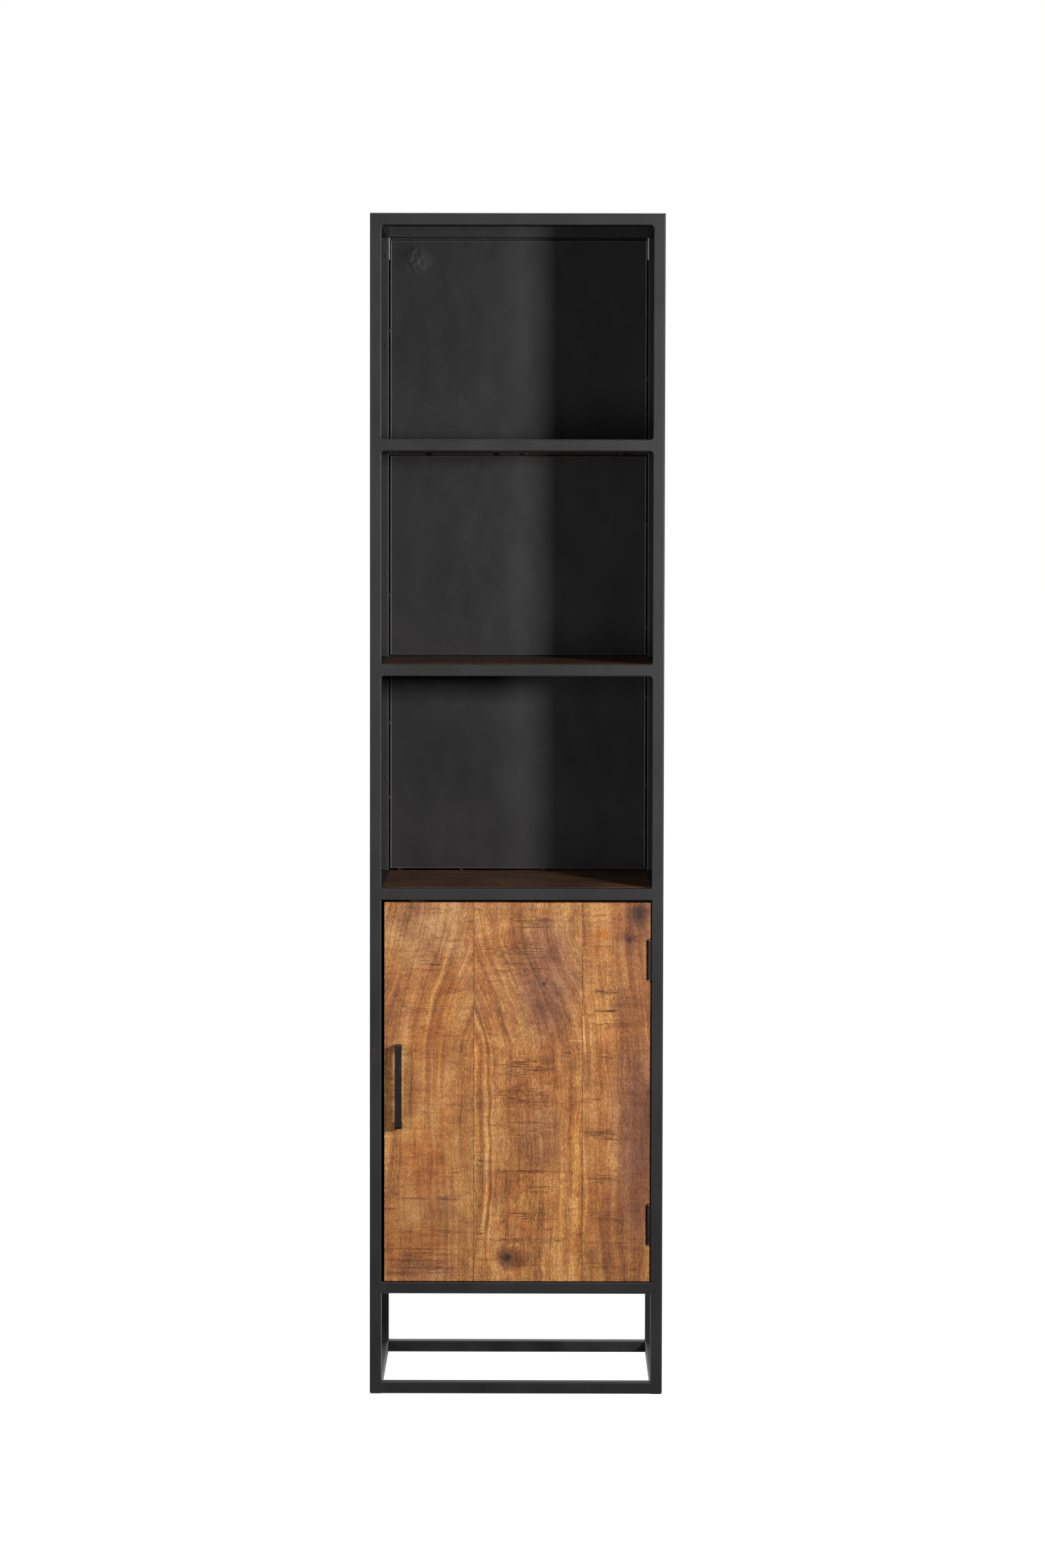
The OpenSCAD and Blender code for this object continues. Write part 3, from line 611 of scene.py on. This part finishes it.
# What door_wood takes for each board. bends: from and to heights, shift mm; stains: place, half size
# mm, tint, share; streaks: place across, half width mm, from and to heights, tint, share; knots: place,
# half size mm, push mm, darkness; sawn: place, half size mm, strength; scratches: place, half size mm
DOOR_BOARDS = {
    "door_board_left": dict(
        seed=1.0, bends=[(0.58, 1.05, -60)], sway=16,
        stains=[
            ((0.50, 0.93), (70, 60), GREY, 0.60),
            ((0.15, 0.72), (34, 60), GREY, 0.35),
            ((0.50, 0.64), (40, 44), ORANGE, 0.40),
            ((0.94, 0.79), (12, 20), BROWN, 0.50),
            ((0.96, 0.951), (6, 3.5), DARK, 0.50),
            ((0.42, 0.31), (40, 66), ORANGE, 0.60),
            ((0.50, 0.16), (75, 80), BROWN, 0.40),
            ((0.65, 0.18), (36, 18), BROWN, 0.50),
            ((0.25, 0.10), (50, 34), ORANGE, 0.35),
            ((0.50, 0.03), (70, 18), PURPLE, 0.55),
            ((0.20, 0.02), (40, 4), BROWN, 0.60),
            ((0.04, 0.50), (8, 110), PALE, 0.40),
        ],
        streaks=[
            (0.42, 5, 0.62, 0.97, PALE, 0.50),
            (0.20, 4, 0.55, 0.90, PALE, 0.30),
            (0.62, 8, 0.45, 0.80, GOLD, 0.50),
            (0.52, 5, 0.35, 0.80, BROWN, 0.25),
            (0.80, 4, 0.40, 0.85, BROWN, 0.25),
            (0.92, 3, 0.02, 0.30, GOLD, 0.50),
        ],
        knots=[],
        sawn=[
            ((0.50, 0.83), (26, 9), 0.8), ((0.50, 0.13), (60, 8), 0.7), ((0.50, 0.05), (65, 20), 0.7),
            ((0.55, 0.47), (40, 24), 0.30), ((0.75, 0.60), (20, 8), 0.4),
        ],
        scratches=[
            ((0.50, 0.220), (52, 0.9)), ((0.62, 0.216), (30, 0.8)), ((0.40, 0.085), (60, 0.9)),
            ((0.35, 0.055), (50, 0.8)), ((0.45, 0.035), (58, 0.9)), ((0.50, 0.835), (14, 0.8)),
            ((0.45, 0.847), (11, 0.8)),
        ],
    ),
    "door_board_middle": dict(
        seed=2.3, bends=[(0.60, 0.98, 66)], sway=18,
        stains=[
            ((0.66, 0.80), (50, 100), PURPLE, 0.90),
            ((0.57, 0.945), (20, 10), DARK, 0.35),
            ((0.70, 0.72), (34, 50), BROWN, 0.35),
            ((0.25, 0.975), (44, 7), BROWN, 0.35),
            ((0.45, 0.60), (46, 20), ORANGE, 0.35),
            ((0.42, 0.50), (44, 24), ORANGE, 0.28),
            ((0.62, 0.40), (40, 70), PURPLE, 0.50),
            ((0.45, 0.26), (46, 22), ORANGE, 0.28),
            ((0.52, 0.15), (26, 24), ORANGE, 0.40),
            ((0.36, 0.060), (30, 15), DARK, 0.60),
            ((0.40, 0.035), (9, 16), RUST, 0.60),
            ((0.47, 0.597), (15, 1.2), PALE, 0.80),
            ((0.94, 0.637), (11, 1.2), PALE, 0.80),
            ((0.86, 0.605), (6, 1.8), DARK, 0.70),
        ],
        streaks=[
            (0.03, 6, 0.30, 0.99, GOLD, 0.90),
            (0.115, 4, 0.10, 0.97, PALE, 0.75),
            (0.18, 3, 0.02, 0.92, PALE, 0.70),
            (0.25, 2.5, 0.02, 0.85, PALE, 0.50),
            (0.07, 3, 0.02, 0.70, BROWN, 0.45),
            (0.148, 2, 0.02, 0.70, BROWN, 0.50),
            (0.215, 2, 0.02, 0.60, BROWN, 0.35),
            (0.94, 8, 0.02, 0.62, GOLD, 0.90),
            (0.82, 4, 0.05, 0.60, GOLD, 0.80),
            (0.74, 3, 0.05, 0.45, PALE, 0.35),
            (0.88, 2.5, 0.05, 0.70, BROWN, 0.45),
            (0.78, 2, 0.05, 0.55, BROWN, 0.35),
        ],
        knots=[
            ((0.31, 0.062), (20, 20), 13, 1.0),
            ((0.645, 0.785), (8, 9), 6, 1.0),
        ],
        sawn=[
            ((0.50, 0.955), (44, 7), 0.9), ((0.40, 0.88), (60, 16), 0.9), ((0.45, 0.82), (54, 9), 0.8),
            ((0.45, 0.57), (54, 16), 1.0), ((0.42, 0.49), (50, 18), 0.9), ((0.50, 0.40), (50, 20), 0.6),
            ((0.50, 0.29), (66, 4), 1.0), ((0.55, 0.24), (50, 4), 0.9), ((0.45, 0.17), (54, 10), 0.9),
            ((0.45, 0.11), (60, 7), 0.9), ((0.06, 0.31), (6, 26), 1.0), ((0.06, 0.12), (6, 22), 0.9),
        ],
        scratches=[
            ((0.48, 0.560), (40, 0.9)), ((0.40, 0.548), (30, 0.8)), ((0.55, 0.292), (44, 1.0)),
            ((0.60, 0.250), (24, 0.8)), ((0.45, 0.180), (40, 0.9)), ((0.30, 0.105), (26, 0.9)),
            ((0.75, 0.107), (14, 0.9)), ((0.40, 0.840), (36, 0.9)), ((0.55, 0.855), (30, 0.8)),
            ((0.30, 0.480), (22, 0.9)), ((0.40, 0.420), (20, 0.8)), ((0.52, 0.935), (30, 0.8)),
        ],
    ),
    "door_board_right": dict(
        seed=4.1, bends=[(0.55, 0.95, 14)], sway=14,
        stains=[
            ((0.75, 0.93), (36, 46), BROWN, 0.80),
            ((0.84, 0.965), (17, 26), DARK, 0.75),
            ((0.66, 0.905), (13, 22), BROWN, 0.80),
            ((0.28, 0.917), (12, 9), EMBER, 1.0),
            ((0.75, 0.70), (30, 60), BROWN, 0.45),
            ((0.80, 0.46), (36, 120), PURPLE, 0.95),
            ((0.80, 0.24), (36, 90), PURPLE, 0.65),
            ((0.85, 0.38), (26, 130), BROWN, 0.38),
            ((0.60, 0.12), (50, 100), BROWN, 0.60),
            ((0.30, 0.72), (26, 60), GOLD, 0.40),
            ((0.25, 0.20), (24, 80), ORANGE, 0.35),
            ((0.96, 0.55), (5, 14), PALE, 0.60),
            ((0.30, 0.885), (22, 1.6), DARK, 0.50),
        ],
        streaks=[
            (0.05, 3.5, 0.55, 0.99, PALE, 0.85),
            (0.16, 3, 0.50, 0.85, PALE, 0.60),
            (0.28, 2.5, 0.55, 0.80, PALE, 0.55),
            (0.10, 2, 0.45, 0.95, BROWN, 0.45),
            (0.93, 2.5, 0.50, 0.80, PALE, 0.60),
            (0.05, 3, 0.05, 0.40, GOLD, 0.70),
            (0.40, 3, 0.05, 0.60, BROWN, 0.30),
        ],
        knots=[
            ((0.84, 0.972), (17, 27), 16, 1.0),
            ((0.68, 0.903), (11, 14), 9, 1.0),
        ],
        sawn=[
            ((0.35, 0.765), (22, 7), 1.0), ((0.35, 0.715), (22, 4), 1.0), ((0.45, 0.68), (30, 8), 0.9),
            ((0.30, 0.60), (30, 8), 0.6), ((0.30, 0.39), (34, 12), 0.9), ((0.35, 0.27), (34, 9), 0.9),
            ((0.40, 0.16), (34, 12), 0.6),
        ],
        scratches=[
            ((0.32, 0.765), (16, 0.9)), ((0.38, 0.752), (18, 0.8)), ((0.34, 0.715), (16, 1.0)),
            ((0.50, 0.683), (20, 0.8)), ((0.30, 0.390), (20, 0.9)), ((0.35, 0.272), (22, 0.9)),
        ],
    ),
}

# The rout round a hinge's knuckles: how far in from the board's edge, how deep, its corners' radius,
# and how far below and above the leaf it goes
ROUT_BACK = 6.6 * MM
ROUT_DEEP = 6.0 * MM
ROUT_RADIUS = 3.0 * MM
ROUT_BELOW, ROUT_ABOVE = 4.0 * MM, 3.0 * MM
# Room around the leaf, and how far a cutter stands out of the board
LEAF_CLEAR = 0.4 * MM
BEYOND = 2.0 * MM


def hinge_cutters(board_box, leaf_box):
    """Solids routed from the hinge-side board for one hinge: round its knuckles and for its leaf."""
    low, high = board_box
    leaf_low, leaf_high = leaf_box
    return [
        rounded_slot(high.x - ROUT_BACK, high.x + BEYOND, leaf_low.z - ROUT_BELOW, leaf_high.z + ROUT_ABOVE,
                     ROUT_RADIUS, low.y - BEYOND, low.y + ROUT_DEEP),
        box_mesh(Vector((leaf_low.x, low.y - BEYOND, leaf_low.z - LEAF_CLEAR)),
                 Vector((high.x + BEYOND, leaf_high.y + LEAF_CLEAR, leaf_high.z + LEAF_CLEAR))),
    ]


for node_name, settings in DOOR_BOARDS.items():
    board_box = node_box(node_name)
    board = box_mesh(*board_box, ARRIS)
    if node_name == "door_board_right":
        cutters = []
        for leaf in ("hinge_upper_door_leaf", "hinge_lower_door_leaf"):
            cutters += hinge_cutters(board_box, node_box(leaf))
        board = carved(board, cutters)
    wood = door_wood("wood_" + node_name.removeprefix("door_"), board_box, **settings)
    plank = new_piece("plank_" + node_name.removeprefix("door_board_"), board, wood, "door")
    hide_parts(node_name)

for node_name, node in NODES.items():
    if node_name not in DOOR_BOARDS:
        for slot in node.material_slots:
            slot.material = FINISHES[slot.material.name]


# ---- welds ----

INNER_X = -node_box("post_front_left")[1].x
REAR_TUBE_Y = node_box("top_rail_rear")[0].y
RIM_DEPTH = 13 * MM
# From a tube's inner face to the middle of the gap around a back panel, and from the rear tubes' front
# face to the beads in it
GAP_MIDDLE = 1.2 * MM
GAP_DEPTH = 4 * MM
# How far the middles of the beads on the rims stand before the rear tubes
TACK_PROUD = 0.4 * MM

# Tack welds: heights as shares of the body's height, and places across as shares of half its inner width
RIM_TACKS = ((-1, (0.974, 0.895, 0.694, 0.513, 0.439)), (1, (0.978, 0.896, 0.725, 0.625, 0.525, 0.440)))
GAP_TACKS = ((-1, (0.908, 0.675, 0.562, 0.496)), (1, (0.866, 0.738, 0.647, 0.585, 0.507)))
TOP_TACKS = (-0.83, 0.04, 0.79)
MIDDLE_BAY_TACKS = (-0.66, -0.14, 0.06, 0.80)
LOWER_BAY_TACKS = (-0.92, -0.44, 0.20)

# Half axes of their beads, mm
RIM_BEAD = (3.0, 2.0, 2.7)
GAP_BEAD = (1.6, 3.5, 3.6)
TOP_BEAD = (3.4, 1.6, 2.2)
MIDDLE_BAY_BEAD = (3.4, 3.5, 2.4)
LOWER_BAY_BEAD = (3.4, 3.5, 1.6)
BEAD_SEED_STEP = 1.7


def tack_welds():
    """Beads that fasten the turned-in rims to the rear tubes, and the back panels in their gaps."""
    height = CAD_BOX[1][2]
    rim_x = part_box("side_panels_right")[1][0] - RIM_DEPTH
    rim_y = REAR_TUBE_Y - TACK_PROUD
    gap_x = INNER_X - GAP_MIDDLE
    gap_y = REAR_TUBE_Y + GAP_DEPTH
    places = []
    for side, shares in RIM_TACKS:
        places += [((side * rim_x, rim_y, share * height), RIM_BEAD) for share in shares]
    for side, shares in GAP_TACKS:
        places += [((side * gap_x, gap_y, share * height), GAP_BEAD) for share in shares]
    for shares, y, z, size in (
        (TOP_TACKS, rim_y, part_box("top_panel")[0][2], TOP_BEAD),
        (MIDDLE_BAY_TACKS, gap_y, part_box("shelf_1_rail_rear")[0][2] - GAP_MIDDLE, MIDDLE_BAY_BEAD),
        (LOWER_BAY_TACKS, gap_y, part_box("shelf_3_rail_rear")[1][2] + GAP_MIDDLE, LOWER_BAY_BEAD),
    ):
        places += [((share * INNER_X, y, z), size) for share in shares]
    bm = bmesh.new()
    for count, (centre, size) in enumerate(places):
        bead(bm, Vector(centre), Vector(size) * MM, BEAD_SEED_STEP * count)
    return bm


beads = new_piece("tack_welds", tack_welds(), paint, "cabinet")
for polygon in beads.data.polygons:
    polygon.use_smooth = True

# The tubes' rounded edges leave a groove where a rail's end meets a post; weld metal fills it, ground flush
EDGE_RADIUS = 2.0 * MM
PROFILE_STEPS = 6


def rail_profile(low, high):
    """Outline (y, z) of a tube's section between two corners, with rounded edges."""
    outline = []
    corners = ((high.y, high.z, 0), (low.y, high.z, 90), (low.y, low.z, 180), (high.y, low.z, 270))
    for y, z, start in corners:
        centre_y = y - EDGE_RADIUS if y == high.y else y + EDGE_RADIUS
        centre_z = z - EDGE_RADIUS if z == high.z else z + EDGE_RADIUS
        for k in range(PROFILE_STEPS + 1):
            angle = math.radians(start + 90 * k / PROFILE_STEPS)
            outline.append((centre_y + EDGE_RADIUS * math.cos(angle),
                            centre_z + EDGE_RADIUS * math.sin(angle)))
    return outline


def ground_joints():
    """Weld metal between the posts and the ends of the front and rear rails, except the top ones."""
    bm = bmesh.new()
    for name in NODES:
        if not name.endswith(("rail_front", "rail_rear")) or name.startswith("top"):
            continue
        low, high = node_box(name)
        outline = rail_profile(low, high)
        for ends in ((low.x - EDGE_RADIUS, low.x), (high.x, high.x + EDGE_RADIUS)):
            prism(bm, [[(x, y, z) for y, z in outline] for x in ends])
    bmesh.ops.recalc_face_normals(bm, faces=bm.faces[:])
    return bm


new_piece("ground_joints", ground_joints(), paint, "cabinet")

# Weld metal also rounds the inner corners of the open bays' front frames
CORNER_RADIUS = 3.0 * MM
CORNER_STEPS = 5


def fillet_outline(side, z, up):
    """Outline (x, z) of one concave fillet; side and up say which way its corner opens."""
    outline = [(side * (INNER_X + EDGE_RADIUS), z - up * EDGE_RADIUS),
               (side * (INNER_X + EDGE_RADIUS), z + up * CORNER_RADIUS)]
    for k in range(CORNER_STEPS + 1):
        angle = math.radians(90 * k / CORNER_STEPS)
        outline.append((side * (INNER_X - CORNER_RADIUS * (1 - math.cos(angle))),
                        z + up * CORNER_RADIUS * (1 - math.sin(angle))))
    outline.append((side * (INNER_X - CORNER_RADIUS), z - up * EDGE_RADIUS))
    return outline


def corner_fillets():
    """Small fillets in the corners of the open bays' front frames, as deep as the tubes' flats."""
    bm = bmesh.new()
    rails = [node_box(name + "_rail_front") for name in ("top", "shelf_1", "shelf_2", "shelf_3")]
    corners = [(rail[0].z, -1) for rail in rails[:-1]] + [(rail[1].z, 1) for rail in rails[1:]]
    depths = (rails[0][0].y, rails[0][1].y - EDGE_RADIUS)
    for z, up in corners:
        for side in (-1, 1):
            outline = fillet_outline(side, z, up)
            prism(bm, [[(x, y, place_z) for x, place_z in outline] for y in depths])
    bmesh.ops.recalc_face_normals(bm, faces=bm.faces[:])
    return bm


new_piece("corner_fillets", corner_fillets(), paint, "cabinet")


# ---- studio ----

FLOOR_RADIUS = 60.0
FLOOR_SEGMENTS = 64
FLOOR_BELOW = 0.2 * MM
FLOOR_GLOW = 0.97


def floor_material():
    """White floor that lights itself, so that it is as pale as the photograph's background."""
    f = Finish("studio_floor")
    tint = f.noise(f.place, (900, 900, 900), 2, 0.5, 1.0)
    colour = f.ramp(tint, (0.3, (0.10, 0.10, 0.10, 1)), (0.7, (0.12, 0.12, 0.12, 1)))
    f.put(f.shader.inputs["Emission Color"], (1, 1, 1, 1))
    f.shader.inputs["Emission Strength"].default_value = FLOOR_GLOW
    return f.finish(colour, 0.9, f.bump(tint, 0.1))


floor_mesh = bpy.data.meshes.new("studio_floor")
floor_bm = bmesh.new()
bmesh.ops.create_circle(floor_bm, cap_ends=True, radius=FLOOR_RADIUS, segments=FLOOR_SEGMENTS)
floor_bm.to_mesh(floor_mesh)
floor_bm.free()
floor_mesh.materials.append(floor_material())
studio_floor = bpy.data.objects.new("studio_floor", floor_mesh)
studio_floor.location.z = -FLOOR_BELOW
# Reflections and bounced light don't see it
studio_floor.visible_glossy = False
studio_floor.visible_diffuse = False
SCENE.collection.objects.link(studio_floor)

# Brightness before and behind the object, and where along Y, as a direction, one turns into the other
WORLD_FRONT = 0.05
WORLD_BACK = 1.0
WORLD_TURN = (-0.1, 0.6)


def studio_world():
    """Bright backdrop behind the object and a dim room in front of it; the camera sees plain white."""
    world = bpy.data.worlds.new("studio")
    SCENE.world = world
    world.use_nodes = True
    nodes, links = world.node_tree.nodes, world.node_tree.links
    background = nodes["Background"]
    coords = nodes.new("ShaderNodeTexCoord")
    parts = nodes.new("ShaderNodeSeparateXYZ")
    links.new(coords.outputs["Generated"], parts.inputs[0])
    light = nodes.new("ShaderNodeMapRange")
    light.interpolation_type = "SMOOTHSTEP"
    links.new(parts.outputs[1], light.inputs["Value"])
    light.inputs["From Min"].default_value, light.inputs["From Max"].default_value = WORLD_TURN
    light.inputs["To Min"].default_value = WORLD_FRONT
    light.inputs["To Max"].default_value = WORLD_BACK
    sight = nodes.new("ShaderNodeLightPath")
    seen = nodes.new("ShaderNodeMath")
    seen.operation = "MAXIMUM"
    links.new(light.outputs[0], seen.inputs[0])
    links.new(sight.outputs["Is Camera Ray"], seen.inputs[1])
    links.new(seen.outputs[0], background.inputs["Strength"])
    background.inputs["Color"].default_value = (1, 1, 1, 1)


studio_world()


def softbox(name, place, target, width, height, watts):
    """Rectangular soft light at place, facing target."""
    data = bpy.data.lights.new(name, "AREA")
    data.shape = "RECTANGLE"
    data.size, data.size_y = width, height
    data.energy = watts
    lamp = bpy.data.objects.new(name, data)
    lamp.location = place
    lamp.rotation_euler = (Vector(target) - Vector(place)).to_track_quat("-Z", "Y").to_euler()
    SCENE.collection.objects.link(lamp)


softbox("softbox_right", (1.95, -3.46, 1.49), (0, 0, 1.35), 0.50, 0.43, 112)
softbox("softbox_left", (-2.16, -3.46, 1.10), (0, 0, 1.10), 0.38, 1.1, 40)
softbox("overhead", (0, 0.4, 4.2), (0, 0, 0), 2.4, 2.4, 60)


# ---- camera ----

# Solved from the corners of the front frame, the rear rails and the base in the photograph
SENSOR = 36.0
LENS = 100.75
SHIFT_X, SHIFT_Y = -0.0033, -0.0452
CAMERA_PLACE = (0.0312, -6.858, 1.378)
YAW, PITCH, ROLL = math.radians(0.127), math.radians(2.812), math.radians(0.111)

camera_data = bpy.data.cameras.new("camera")
camera_data.sensor_width = SENSOR
camera_data.lens = LENS
camera_data.shift_x, camera_data.shift_y = SHIFT_X, SHIFT_Y
camera = bpy.data.objects.new("camera", camera_data)
camera.matrix_world = (
    Matrix.Translation(CAMERA_PLACE)
    @ Matrix.Rotation(YAW, 4, "Z")
    @ Matrix.Rotation(math.pi / 2 - PITCH, 4, "X")
    @ Matrix.Rotation(ROLL, 4, "Z")
)
SCENE.collection.objects.link(camera)
SCENE.camera = camera
SCENE.view_settings.view_transform = "Standard"
